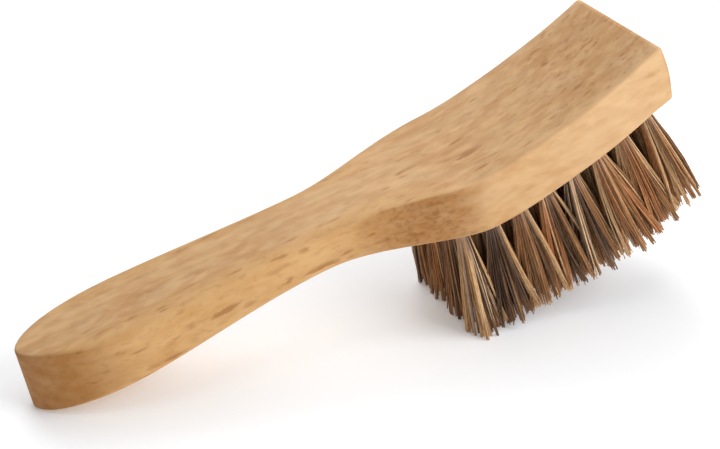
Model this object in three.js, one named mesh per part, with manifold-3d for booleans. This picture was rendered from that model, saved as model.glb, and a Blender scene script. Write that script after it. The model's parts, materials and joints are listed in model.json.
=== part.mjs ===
// A hoof brush: a one-piece wooden stock, fibre tufts set in drilled holes, and the staples that hold them.
// Millimetres. +X runs from the handle to the toe, +Y to the far side and +Z up. The brush stands as it is
// put down, on the end of its handle and on the heel of its filling, with the origin under its middle.
import * as THREE from 'three';
import { mergeVertices } from 'three/addons/utils/BufferGeometryUtils.js';
import Module from 'manifold-3d';

const wasm = await Module();
wasm.setup();

// Stock: lengths are measured along the blank that it is sawn from, in line with the handle
const handleLength = 133; // straight, up to where the head starts to curve
const headLength = 74.5; // from there to the toe, which is cut square to the handle
const headCurveRadius = 193; // of the top face
const handleWidth = 31.3;
const handleEndLength = 34; // of the rounded end
const handleEndPower = 1.85; // 2 makes the end an ellipse, less makes it more pointed
const neckWidth = 26.6;
const neckSetback = 41; // from the start of the curve back to the neck
const shoulderLength = 47.8; // from the neck to the full width of the head
const shoulderLag = 1.22; // above 1 the shoulders widen late
const headWidth = 47.8;
const toeCornerRadius = 1.5;
const endThickness = 20.4;
const handleThickness = 14.2;
const headThickness = 17.8;
const endEdgeRadius = 1.2;
const handleEdgeRadius = 3.2;
const headEdgeRadius = 1.2;

// Tufts: places are measured along the curve of the top face
const tuftSpacing = 8.8; // the nearest spacing to this that fills the field is used
const rowSpacing = 11; // likewise
const heelMargin = 1.2; // from the start of the curve to the first tuft
const toeMargin = 13.5; // from the last tuft to the toe
const sideMargin = 7.3; // from the outer rows to the sides of the head
const trimLength = 38.6; // of the fibres below the wood
const trimRaggedness = 1.2;
const tuftFan = 0.92; // share of the head's curve that the tufts follow
const tuftLean = THREE.MathUtils.degToRad(0.5); // of every tuft towards the handle
const rowSplay = THREE.MathUtils.degToRad(1.6); // of the outer rows outwards
const tuftSpread = 2.3; // widening of a tuft from its hole to its tip
const innerStrands = 3; // of each tuft, in a ring about its middle
const outerStrands = 8; // of each tuft, in a ring at its edge
const innerReach = 0.85; // radius of the inner ring
const strandRadius = 0.5;
const strandSides = 3;
const strandJitter = 0.3; // unevenness of the tips
const sliceThickness = 1.5; // of the backing that the tufts of one row share
const sliceRim = 0.6; // of backing round the holes
const standingFlat = 1.2; // depth pressed flat where the filling stands

// Holes and staples
const holeDiameter = 6;
const holeFloor = 6.8; // wood left above a hole
const wireThickness = 0.9;
const stapleInset = 1.1; // from the side of the hole to the staple
const foldDepth = 2; // fibres between the crown and the floor of the hole
const legBite = 3.2; // of the staple's legs into the wood
const clearance = 0.3; // between neighbouring pieces

// Fineness of the round shapes
const endStations = 8;
const stationStep = 8;
const cornerStations = 3;
const edgeSteps = 4;
const boreSides = 8;

const stockLength = handleLength + headLength;
const toePlace = handleLength + headCurveRadius * Math.asin(headLength / headCurveRadius);
const neckDistance = handleLength - neckSetback;
const shoulderDistance = neckDistance + shoulderLength;
const holeDepth = headThickness - holeFloor;
const holeRadius = holeDiameter / 2;
const plugRadius = holeRadius - clearance;
const firstTuft = handleLength + heelMargin;
const lastTuft = toePlace - toeMargin;
const outerRow = headWidth / 2 - sideMargin;
const tuftGaps = Math.round((lastTuft - firstTuft) / tuftSpacing);
const rowGaps = Math.round((2 * outerRow) / rowSpacing);
const tuftPitch = (lastTuft - firstTuft) / tuftGaps;
const rowPitch = (2 * outerRow) / rowGaps;
const strandsPerTuft = innerStrands + outerStrands;
const outerReach = plugRadius - strandRadius;

const rows = Array.from({ length: rowGaps + 1 }, (_, row) => row);
const tufts = Array.from({ length: tuftGaps + 1 }, (_, tuft) => tuft);

const beech = { color: 0xd9b27c, roughness: 0.6, metalness: 0 };
const fibre = { color: 0x5a4030, roughness: 0.8, metalness: 0 };
const wire = { color: 0x9a9a98, roughness: 0.35, metalness: 1 };

function smooth(low, high, start, end, distance) {
  return THREE.MathUtils.lerp(low, high, THREE.MathUtils.smoothstep(distance, start, end));
}

// A point of the stock, by its distance along the blank, its distance from the middle and its depth below
// the top face, which is level along the handle and then an arc that climbs towards the toe.
function stockPoint(distance, across, depth) {
  const intoHead = Math.max(0, distance - handleLength);
  const radius = headCurveRadius + depth;
  return new THREE.Vector3(distance, across, headCurveRadius - Math.sqrt(radius ** 2 - intoHead ** 2));
}

// The angle that the head has climbed by at a place along its curve.
function bendAt(place) {
  return Math.max(0, place - handleLength) / headCurveRadius;
}

// A point of the head, by its place along the curve of the top face and its depth square to that curve.
function headPoint(place, across, depth) {
  const bend = bendAt(place);
  const radius = headCurveRadius + depth;
  return new THREE.Vector3(
    Math.min(place, handleLength) + radius * Math.sin(bend),
    across,
    headCurveRadius - radius * Math.cos(bend),
  );
}

// Half the stock's width: a superellipse at the end, then the neck, the shoulders and the square head.
function halfWidth(distance) {
  if (distance < handleEndLength) {
    const fromEnd = 1 - distance / handleEndLength;
    return (handleWidth / 2) * (1 - fromEnd ** handleEndPower) ** (1 / handleEndPower);
  }
  if (distance < neckDistance) {
    return smooth(handleWidth, neckWidth, handleEndLength, neckDistance, distance) / 2;
  }
  const along = THREE.MathUtils.clamp((distance - neckDistance) / shoulderLength, 0, 1);
  const width = smooth(neckWidth, headWidth, 0, 1, along ** shoulderLag) / 2;
  const intoCorner = THREE.MathUtils.clamp(distance - stockLength + toeCornerRadius, 0, toeCornerRadius);
  return width - toeCornerRadius + Math.sqrt(toeCornerRadius ** 2 - intoCorner ** 2);
}

function thickness(distance) {
  if (distance < neckDistance) {
    return smooth(endThickness, handleThickness, 0, neckDistance, distance);
  }
  return smooth(handleThickness, headThickness, neckDistance, shoulderDistance, distance);
}

function edgeRadius(distance) {
  const radius = distance < neckDistance
    ? smooth(endEdgeRadius, handleEdgeRadius, 0, handleEndLength, distance)
    : smooth(handleEdgeRadius, headEdgeRadius, neckDistance, shoulderDistance, distance);
  return Math.min(radius, 0.8 * halfWidth(distance));
}

// One rounded-rectangle section, counter-clockwise as seen from the toe.
function sectionRing(distance) {
  const half = halfWidth(distance);
  const deep = thickness(distance);
  const radius = edgeRadius(distance);
  const corners = [
    { across: half - radius, depth: radius },
    { across: radius - half, depth: radius },
    { across: radius - half, depth: deep - radius },
    { across: half - radius, depth: deep - radius },
  ];
  return corners.flatMap((corner, quarter) => {
    return Array.from({ length: edgeSteps + 1 }, (_, step) => {
      const turn = (quarter + step / edgeSteps) * (Math.PI / 2);
      const across = corner.across + radius * Math.cos(turn);
      return stockPoint(distance, across, corner.depth - radius * Math.sin(turn));
    });
  });
}

function spacedDistances(start, end, step) {
  const count = Math.ceil((end - start) / step);
  return Array.from({ length: count }, (_, index) => start + ((end - start) * index) / count);
}

function stockDistances() {
  const end = Array.from({ length: endStations }, (_, index) => {
    const turn = (Math.PI / 2) * ((index + 0.6) / (endStations + 0.6));
    return handleEndLength * (1 - Math.cos(turn) ** (2 / handleEndPower));
  });
  const corner = Array.from({ length: cornerStations + 1 }, (_, index) => {
    const turn = (Math.PI / 2) * (index / (cornerStations + 0.5));
    return stockLength - toeCornerRadius + toeCornerRadius * Math.sin(turn);
  });
  const handle = spacedDistances(handleEndLength, handleLength, stationStep);
  const head = spacedDistances(handleLength, stockLength - toeCornerRadius, stationStep);
  return [...end, ...handle, ...head, ...corner, stockLength];
}

// Skins a run of rings that have equal counts of points, and closes both ends.
function loft(rings) {
  const size = rings[0].length;
  const corner = (ring, point) => ring * size + (point % size);
  const faces = [];
  for (let ring = 0; ring < rings.length - 1; ring += 1) {
    for (let point = 0; point < size; point += 1) {
      faces.push(corner(ring, point), corner(ring, point + 1), corner(ring + 1, point + 1));
      faces.push(corner(ring, point), corner(ring + 1, point + 1), corner(ring + 1, point));
    }
  }
  const last = rings.length - 1;
  for (let point = 1; point < size - 1; point += 1) {
    faces.push(corner(0, 0), corner(0, point + 1), corner(0, point));
    faces.push(corner(last, 0), corner(last, point), corner(last, point + 1));
  }
  const geometry = new THREE.BufferGeometry().setFromPoints(rings.flat());
  return geometry.setIndex(faces);
}

// The slice of backing that one row shares, square in section, or its groove where it is grown.
function backingSlice(row, grow, bottom) {
  const reach = holeRadius + sliceRim + grow;
  const between = tufts.slice(1).map((tuft) => firstTuft + (tuft - 0.5) * tuftPitch);
  const places = [firstTuft - reach, ...between, lastTuft + reach];
  const middle = row * rowPitch - outerRow;
  const top = headThickness - sliceThickness - grow;
  return loft(places.map((place) => [
    headPoint(place, middle + reach, bottom),
    headPoint(place, middle + reach, top),
    headPoint(place, middle - reach, top),
    headPoint(place, middle - reach, bottom),
  ]));
}

function solidOf(geometry) {
  const bare = geometry.clone();
  bare.deleteAttribute('normal');
  bare.deleteAttribute('uv');
  const merged = mergeVertices(bare);
  return new wasm.Manifold(new wasm.Mesh({
    numProp: 3,
    vertProperties: new Float32Array(merged.attributes.position.array),
    triVerts: new Uint32Array(merged.index.array),
  }));
}

function meshOf(solid, name, finish) {
  const { vertProperties, triVerts } = solid.getMesh();
  const geometry = new THREE.BufferGeometry();
  geometry.setAttribute('position', new THREE.BufferAttribute(vertProperties, 3));
  geometry.setIndex(new THREE.BufferAttribute(triVerts, 1));
  geometry.computeVertexNormals();
  const mesh = new THREE.Mesh(geometry, new THREE.MeshStandardMaterial(finish));
  mesh.name = name;
  return mesh;
}

// A tuft's own axes: X along the head, Y across it and Z up its hole, with zero at the wood's underside.
function tuftMatrix(row, tuft) {
  const place = firstTuft + tuft * tuftPitch;
  const across = row * rowPitch - outerRow;
  const middleBend = bendAt((firstTuft + lastTuft) / 2);
  const tilt = THREE.MathUtils.lerp(middleBend, bendAt(place), tuftFan) - tuftLean;
  const matrix = new THREE.Matrix4().makeRotationY(-tilt);
  matrix.multiply(new THREE.Matrix4().makeRotationX((rowSplay * across) / outerRow));
  return matrix.setPosition(headPoint(place, across, headThickness));
}

// An upright bar with a regular section, between two heights.
function bar(radius, sides, low, high) {
  const corners = Array.from({ length: sides }, (_, corner) => {
    const turn = (2 * Math.PI * corner) / sides;
    return new THREE.Vector2(radius * Math.cos(turn), radius * Math.sin(turn));
  });
  const outline = new THREE.Shape(corners);
  const shape = new THREE.ExtrudeGeometry(outline, { depth: high - low, bevelEnabled: false });
  return shape.translate(0, 0, low);
}

// A staple in a hole, crown down and legs up, or its seat where it is grown by the clearance.
function stapleShape(grow) {
  const outside = holeRadius - stapleInset + grow;
  const inside = holeRadius - stapleInset - wireThickness - grow;
  const crownTop = holeDepth - foldDepth + grow;
  const crownBottom = holeDepth - foldDepth - wireThickness - grow;
  const point = holeDepth + legBite + grow;
  const outline = new THREE.Shape([
    new THREE.Vector2(-outside, crownBottom),
    new THREE.Vector2(outside, crownBottom),
    new THREE.Vector2(outside, point - wireThickness),
    new THREE.Vector2(inside, point),
    new THREE.Vector2(inside, crownTop),
    new THREE.Vector2(-inside, crownTop),
    new THREE.Vector2(-inside, point),
    new THREE.Vector2(-outside, point - wireThickness),
  ]);
  const deep = wireThickness + 2 * grow;
  const shape = new THREE.ExtrudeGeometry(outline, { depth: deep, bevelEnabled: false });
  return shape.translate(0, 0, -deep / 2).rotateX(Math.PI / 2).rotateZ(Math.PI / 2);
}

// Uneven but repeatable: a value from -1 to 1 for a strand's number.
function unevenness(number, kind) {
  return Math.sin(number * 12.9898 + kind * 78.233);
}

// One fibre strand of a tuft, from the slice of backing to its tip. The strands stand in two rings.
function strand(index, number) {
  const isInner = index < innerStrands;
  const reach = isInner ? innerReach : outerReach;
  const share = isInner ? index / innerStrands : (index - innerStrands) / outerStrands;
  const along = reach * Math.cos(2 * Math.PI * share);
  const across = reach * Math.sin(2 * Math.PI * share);
  const root = new THREE.Vector3(along, across, sliceThickness / 2);
  const tip = new THREE.Vector3(
    along * tuftSpread + strandJitter * unevenness(number, 1),
    across * tuftSpread + strandJitter * unevenness(number, 2),
    -trimLength + (trimRaggedness / 2) * (1 + unevenness(number, 3)),
  );
  const way = tip.clone().sub(root);
  const turn = new THREE.Quaternion().setFromUnitVectors(new THREE.Vector3(0, 0, 1), way.clone().normalize());
  const upright = bar(strandRadius, strandSides, 0, way.length());
  return upright.applyQuaternion(turn).translate(root.x, root.y, root.z);
}

// The filling of one tuft: the folded part in the hole, and the strands.
function tuftGeometries(row, tuft) {
  const first = (row * tufts.length + tuft) * strandsPerTuft;
  const strands = Array.from({ length: strandsPerTuft }, (_, index) => strand(index, first + index));
  const folded = bar(plugRadius, boreSides, sliceThickness / 2, holeDepth - clearance);
  return [folded, ...strands].map((piece) => piece.applyMatrix4(tuftMatrix(row, tuft)));
}

function stapleSeats(row) {
  return tufts.map((tuft) => solidOf(stapleShape(clearance).applyMatrix4(tuftMatrix(row, tuft))));
}

// All the tufts of one row on their slice of backing, before they are pressed flat where they stand.
function rowSolid(row) {
  const slice = backingSlice(row, 0, headThickness);
  const pieces = [slice, ...tufts.flatMap((tuft) => tuftGeometries(row, tuft))];
  return wasm.Manifold.union(pieces.map(solidOf)).subtract(wasm.Manifold.union(stapleSeats(row)));
}

// What is cut from the stock for one row: the groove for its slice, the holes and the staples' seats.
function rowCuts(row) {
  const groove = solidOf(backingSlice(row, clearance, headThickness + sliceThickness));
  const holes = tufts.map((tuft) => {
    return solidOf(bar(holeRadius, boreSides, 0, holeDepth).applyMatrix4(tuftMatrix(row, tuft)));
  });
  return [groove, ...holes, ...stapleSeats(row)];
}

function stockSolid() {
  const blank = solidOf(loft(stockDistances().map(sectionRing)));
  return blank.subtract(wasm.Manifold.union(rows.flatMap(rowCuts)));
}

// The lowest point of a solid once the brush is tipped up by an angle.
function lowest(solid, angle) {
  const { vertProperties } = solid.getMesh();
  let low = Infinity;
  for (let index = 0; index < vertProperties.length; index += 3) {
    const height = vertProperties[index] * Math.sin(angle) + vertProperties[index + 2] * Math.cos(angle);
    low = Math.min(low, height);
  }
  return low;
}

// The angle at which the handle's end and the filling, pressed flat a little, stand on one level.
function standingAngle(stock, filling) {
  let flat = 0;
  let steep = Math.PI / 3;
  for (let halving = 0; halving < 40; halving += 1) {
    const angle = (flat + steep) / 2;
    if (lowest(stock, angle) > lowest(filling, angle) + standingFlat) {
      flat = angle;
    } else {
      steep = angle;
    }
  }
  return (flat + steep) / 2;
}

const stock = stockSolid();
const filling = rows.map(rowSolid);
const angle = standingAngle(stock, wasm.Manifold.union(filling));

const brush = new THREE.Group();
brush.rotation.y = -angle;

// What reaches below the standing level is pressed flat.
const below = new THREE.BoxGeometry(2 * stockLength, 2 * headWidth, trimLength);
below.translate(0, 0, lowest(stock, angle) - trimLength / 2);
below.applyMatrix4(new THREE.Matrix4().makeRotationY(angle));
const pressed = solidOf(below);

brush.add(meshOf(stock, 'wood_stock', beech));
rows.forEach((row) => {
  brush.add(meshOf(filling[row].subtract(pressed), `tuft_row_${row + 1}`, fibre));
  tufts.forEach((tuft) => {
    const staple = solidOf(stapleShape(0).applyMatrix4(tuftMatrix(row, tuft)));
    brush.add(meshOf(staple, `staple_${row + 1}_${tuft + 1}`, wire));
  });
});

const hoofBrush = new THREE.Group();
hoofBrush.add(brush);
hoofBrush.updateMatrixWorld(true);
const box = new THREE.Box3().setFromObject(brush, true);
const middle = box.getCenter(new THREE.Vector3());
brush.position.set(-middle.x, -middle.y, -box.min.z);

export default hoofBrush;
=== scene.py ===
"""Looks of a wooden hoof brush: a sawn beech stock, its drilled holes, the fibre filling and the staples.

Sizes are in millimetres in the stock's own axes, x along the handle from its end, y to the far side and
z up from the handle's top face, and become metres in the row frame when a mesh is made.
"""

import json
import logging
import math
from dataclasses import dataclass, field
from enum import Enum
from typing import Any

import bmesh
import bpy
import numpy as np
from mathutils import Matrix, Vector


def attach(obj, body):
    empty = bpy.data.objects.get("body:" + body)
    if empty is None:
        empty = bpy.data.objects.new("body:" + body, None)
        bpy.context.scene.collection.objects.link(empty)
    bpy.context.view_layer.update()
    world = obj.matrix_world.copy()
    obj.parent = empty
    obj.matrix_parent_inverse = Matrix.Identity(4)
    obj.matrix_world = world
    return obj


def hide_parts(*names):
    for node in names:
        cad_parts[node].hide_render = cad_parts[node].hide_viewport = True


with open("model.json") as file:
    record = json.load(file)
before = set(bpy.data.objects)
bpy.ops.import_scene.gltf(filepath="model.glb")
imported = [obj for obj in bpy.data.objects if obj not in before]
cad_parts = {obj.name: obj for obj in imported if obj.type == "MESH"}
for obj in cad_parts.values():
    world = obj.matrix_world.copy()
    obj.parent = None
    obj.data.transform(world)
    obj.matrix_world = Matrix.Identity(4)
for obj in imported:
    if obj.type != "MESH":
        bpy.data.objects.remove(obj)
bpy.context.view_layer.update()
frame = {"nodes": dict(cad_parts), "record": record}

log = logging.getLogger("hoof_brush")

Array = np.ndarray
Socket = bpy.types.NodeSocket
Material = bpy.types.Material
Piece = bpy.types.Object
Span = tuple[float, float]
Triple = tuple[float, float, float]
Colour = Triple
MILLIMETRE = 0.001
TINY = 1e-9
SAME_POINT = 1e-7
SHARP_ANGLE = math.radians(40)
GOLDEN_TURN = math.pi * (3 - math.sqrt(5))
HANDLE_TOP_PLACE = 66.0
MAP_MARGIN = 0.02


def linear(red: int, green: int, blue: int) -> Colour:
    """A colour given as on a screen, from 0 to 255, in the shader's own linear light."""
    shares = np.array([red, green, blue]) / 255
    return tuple(np.where(shares <= 0.04045, shares / 12.92, ((shares + 0.055) / 1.055) ** 2.4).tolist())


def smooth(low: Any, high: Any, start: float, end: float, at: Array) -> Array:
    """Goes from low to high between start and end, as a cubic that is level at both."""
    share = np.clip((at - start) / (end - start), 0, 1)
    return low + (high - low) * share * share * (3 - 2 * share)


def grid_faces(rows: int, columns: int, closed: bool) -> Array:
    """Four-sided faces over a grid of points.

    Args:
        rows: count of rows of points.
        columns: count of points in a row.
        closed: whether a row's last point joins its first.

    Returns:
        One row of four point numbers for each face.
    """
    number = np.arange(rows * columns).reshape(rows, columns)
    after = np.roll(number, -1, axis=1)
    keep = slice(None) if closed else slice(0, -1)
    quad = [number[:-1, keep], after[:-1, keep], after[1:, keep], number[1:, keep]]
    return np.stack(quad, axis=-1).reshape(-1, 4)


def new_piece(name: str, points: Array, faces: list[Array]) -> Piece:
    """Makes a smooth mesh object.

    Args:
        name: the piece's name.
        points: places in row metres, in any grid shape, with three numbers last.
        faces: blocks of faces, each block with one count of sides.

    Returns:
        The object, linked to the scene.
    """
    mesh = bpy.data.meshes.new(name)
    flat = points.reshape(-1, 3).astype(np.float32)
    corners = np.concatenate([block.ravel() for block in faces]).astype(np.int32)
    sides = np.concatenate([np.full(len(block), block.shape[1]) for block in faces])
    starts = np.concatenate([[0], np.cumsum(sides)[:-1]]).astype(np.int32)
    mesh.vertices.add(len(flat))
    mesh.vertices.foreach_set("co", flat.ravel())
    mesh.loops.add(len(corners))
    mesh.loops.foreach_set("vertex_index", corners)
    mesh.polygons.add(len(sides))
    mesh.polygons.foreach_set("loop_start", starts)
    mesh.polygons.foreach_set("use_smooth", np.ones(len(sides), dtype=bool))
    mesh.update(calc_edges=True)
    piece = bpy.data.objects.new(name, mesh)
    bpy.context.scene.collection.objects.link(piece)
    return piece


def add_numbers(piece: Piece, name: str, values: Array) -> None:
    """Keeps one number for each point of a piece, for its material to read."""
    layer = piece.data.attributes.new(name, "FLOAT", "POINT")
    layer.data.foreach_set("value", values.astype(np.float32).ravel())


class Value:
    """A shader number: Python expressions on it add the Math nodes that work them out."""

    def __init__(self, shader: "Shader", socket: Socket) -> None:
        """Wraps an output socket of one of the shader's nodes."""
        self.shader = shader
        self.socket = socket

    def math(self, operation: str, *others: Any) -> "Value":
        """Adds one Math node.

        Args:
            operation: the node's operation.
            others: its second and third numbers, or values.

        Returns:
            The node's result.
        """
        sockets = dict(enumerate((self, *others)))
        return self.shader.value("ShaderNodeMath", {"operation": operation}, sockets)

    def __add__(self, other: Any) -> "Value":
        """self + other"""
        return self.math("ADD", other)

    __radd__ = __add__

    def __sub__(self, other: Any) -> "Value":
        """self - other"""
        return self.math("SUBTRACT", other)

    def __rsub__(self, other: Any) -> "Value":
        """other - self"""
        return self.math("MULTIPLY_ADD", -1.0, other)

    def __mul__(self, other: Any) -> "Value":
        """self * other"""
        return self.math("MULTIPLY", other)

    __rmul__ = __mul__

    def __pow__(self, other: Any) -> "Value":
        """self ** other"""
        return self.math("POWER", other)

    def __abs__(self) -> "Value":
        """abs(self)"""
        return self.math("ABSOLUTE")

    def ramp(self, start: float, end: float) -> "Value":
        """0 at start and 1 at end, smooth between them and level beyond; start may be above end."""
        settings = {"interpolation_type": "SMOOTHSTEP"}
        sockets = {"Value": self, "From Min": min(start, end), "From Max": max(start, end)}
        rising = self.shader.value("ShaderNodeMapRange", settings, sockets)
        return rising if start < end else 1 - rising


class Shader:
    """A material whose surface is one Principled shader."""

    def __init__(self, name: str) -> None:
        """Starts the material with its shader joined to its output."""
        self.material = bpy.data.materials.new(name)
        self.material.use_nodes = True
        self.tree = self.material.node_tree
        self.tree.nodes.clear()
        self.surface = self.node("ShaderNodeBsdfPrincipled")
        self.node("ShaderNodeOutputMaterial", sockets={"Surface": self.surface.outputs["BSDF"]})

    def node(
        self, kind: str, settings: dict[str, Any] | None = None, sockets: dict[Any, Any] | None = None
    ) -> bpy.types.Node:
        """Adds any node.

        Args:
            kind: the node's type.
            settings: its own settings, set first; "stops" are a colour ramp's places and colours.
            sockets: numbers, colours, values or links of its inputs, by name or by number.

        Returns:
            The node.
        """
        node = self.tree.nodes.new(kind)
        for name, setting in (settings or {}).items():
            if name == "stops":
                elements = node.color_ramp.elements
                while len(elements) < len(setting):
                    elements.new(1.0)
                for element, (place, colour) in zip(elements, setting):
                    element.position = place
                    element.color = (*colour, 1.0)
            else:
                setattr(node, name, setting)
        for name, given in (sockets or {}).items():
            self.feed(node.inputs[name], given)
        return node

    def feed(self, socket: Socket, given: Any) -> None:
        """Links a value or an output to an input, or sets the input's own number or colour."""
        if isinstance(given, Value):
            given = given.socket
        if isinstance(given, Socket):
            self.tree.links.new(given, socket)
        elif socket.type == "RGBA":
            socket.default_value = (*given, 1.0)
        else:
            socket.default_value = given

    def value(self, kind: str, settings: dict[str, Any], sockets: dict[Any, Any], out: Any = 0) -> Value:
        """Adds a node and gives one of its outputs as a value."""
        return Value(self, self.node(kind, settings, sockets).outputs[out])

    def attribute(self, name: str) -> Value:
        """One number that the piece keeps for each of its points."""
        return self.value("ShaderNodeAttribute", {"attribute_name": name}, {}, "Fac")

    def shifted(self, places: Socket, x: Any, y: Any, z: Any) -> Socket:
        """Places moved by three numbers or values."""
        shift = self.node("ShaderNodeCombineXYZ", sockets={0: x, 1: y, 2: z}).outputs[0]
        return self.node("ShaderNodeVectorMath", {"operation": "ADD"}, {0: places, 1: shift}).outputs[0]

    def split(self, places: Socket) -> tuple[Value, Value, Value]:
        """The three coordinates of places."""
        x, y, z = self.node("ShaderNodeSeparateXYZ", sockets={0: places}).outputs
        return Value(self, x), Value(self, y), Value(self, z)

    def scaled(self, places: Socket, stretch: Triple) -> Socket:
        """Places divided by a pattern's size along each axis."""
        return self.node("ShaderNodeVectorMath", {"operation": "DIVIDE"}, {0: places, 1: stretch}).outputs[0]

    def noise(self, places: Socket, stretch: Triple, detail: float = 2.0) -> Value:
        """Soft noise whose lumps are about as large along each axis as stretch says."""
        vector = self.scaled(places, stretch)
        sockets = {"Vector": vector, "Scale": 1.0, "Detail": detail, "Roughness": 0.55}
        return self.value("ShaderNodeTexNoise", {}, sockets)

    def spindles(self, places: Socket, stretch: Triple, size: float, share: float) -> Value:
        """Scattered spindle-shaped spots.

        Args:
            places: where the pattern is read.
            stretch: the size of the cell that may hold a spot, along each axis.
            size: half a spot's length, as a share of its cell.
            share: the share of cells that hold one.

        Returns:
            1 in a spot, 0 outside it, soft at the rim.
        """
        sockets = {"Vector": self.scaled(places, stretch), "Scale": 1.0}
        cell = self.node("ShaderNodeTexVoronoi", sockets=sockets)
        drawn = self.node("ShaderNodeSeparateColor", sockets={0: cell.outputs["Color"]})
        spot = Value(self, cell.outputs["Distance"]).ramp(size, size * 0.1)
        present = Value(self, drawn.outputs[0]).ramp(share, share * 0.5)
        return spot * present

    def mix(self, factor: Any, low: Any, high: Any) -> Socket:
        """Mixes two colours by a factor."""
        sockets = {"Factor": factor, 6: low, 7: high}
        return self.node("ShaderNodeMix", {"data_type": "RGBA"}, sockets).outputs[2]

    def bump(self, height: Value, distance: float, strength: float) -> Socket:
        """A bumped normal; distance is the height in metres of a step from 0 to 1."""
        sockets = {"Height": height, "Distance": distance, "Strength": strength}
        return self.node("ShaderNodeBump", sockets=sockets).outputs[0]

    def dress(self, sockets: dict[str, Any]) -> Material:
        """Feeds inputs of the surface's shader, by name, and gives the finished material."""
        for name, given in sockets.items():
            self.feed(self.surface.inputs[name], given)
        return self.material


@dataclass(frozen=True)
class Placement:
    """Where the stock's own axes stand in the row frame: its tilt and its origin in millimetres."""

    tilt: float
    origin: Triple

    @classmethod
    def from_record(cls, record: dict[str, Any], mount: str, distance: float) -> "Placement":
        """Reads the placement from a flat mount on the handle's top.

        Args:
            record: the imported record.
            mount: the mount's name.
            distance: how far along the handle the mount is.

        Returns:
            The placement.
        """
        found = next(row for row in record["mounts"] if row["name"] == mount)
        tilt = math.atan2(-found["axis"][0], found["axis"][2])
        x, y, z = (number / MILLIMETRE for number in found["pos_m"])
        return cls(tilt, (x - distance * math.cos(tilt), y, z - distance * math.sin(tilt)))

    def metres(self, points: Array) -> Array:
        """Points of the stock's axes in the row frame: turned about y by the tilt, then moved."""
        cos, sin = math.cos(self.tilt), math.sin(self.tilt)
        x, y, z = np.moveaxis(points, -1, 0)
        turned = np.stack([x * cos - z * sin, y, x * sin + z * cos], axis=-1)
        return (turned + np.array(self.origin)) * MILLIMETRE

    def local_places(self, shader: Shader) -> Socket:
        """The Object coordinates in the stock's own axes, in millimetres."""
        places = shader.node("ShaderNodeTexCoord").outputs["Object"]
        x, y, z = self.origin
        cos, sin = math.cos(self.tilt), math.sin(self.tilt)
        sockets = {
            "Vector": places,
            "Location": (-x * cos - z * sin, -y, x * sin - z * cos),
            "Rotation": (0.0, self.tilt, 0.0),
            "Scale": (1 / MILLIMETRE,) * 3,
        }
        return shader.node("ShaderNodeMapping", {"vector_type": "POINT"}, sockets).outputs[0]


class FibreKind(Enum):
    """Kinds of fibre in the mixed filling, each with its place on the palette."""

    DARK = 0.06
    BROWN = 0.3
    RUST = 0.5
    BLOND = 0.72
    GREY = 0.94


class TuftMix(Enum):
    """Mixtures that a tuft may be picked from: shares of dark, brown, rust, blond and grey fibres."""

    PLAIN = (0.32, 0.36, 0.12, 0.14, 0.06)
    DARK = (0.64, 0.26, 0.02, 0.06, 0.02)
    PALE = (0.12, 0.18, 0.04, 0.54, 0.12)
    STREAKED = (0.26, 0.34, 0.12, 0.24, 0.04)
    RUSTY = (0.2, 0.24, 0.44, 0.1, 0.02)
    GREYING = (0.34, 0.32, 0.04, 0.14, 0.16)
    BROWN = (0.05, 0.51, 0.18, 0.24, 0.02)
    # paler fibres for the inner rows: painted fill light for the shade seen between the near row's tufts
    PAINTED_FILL = (0.06, 0.34, 0.06, 0.28, 0.26)


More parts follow.
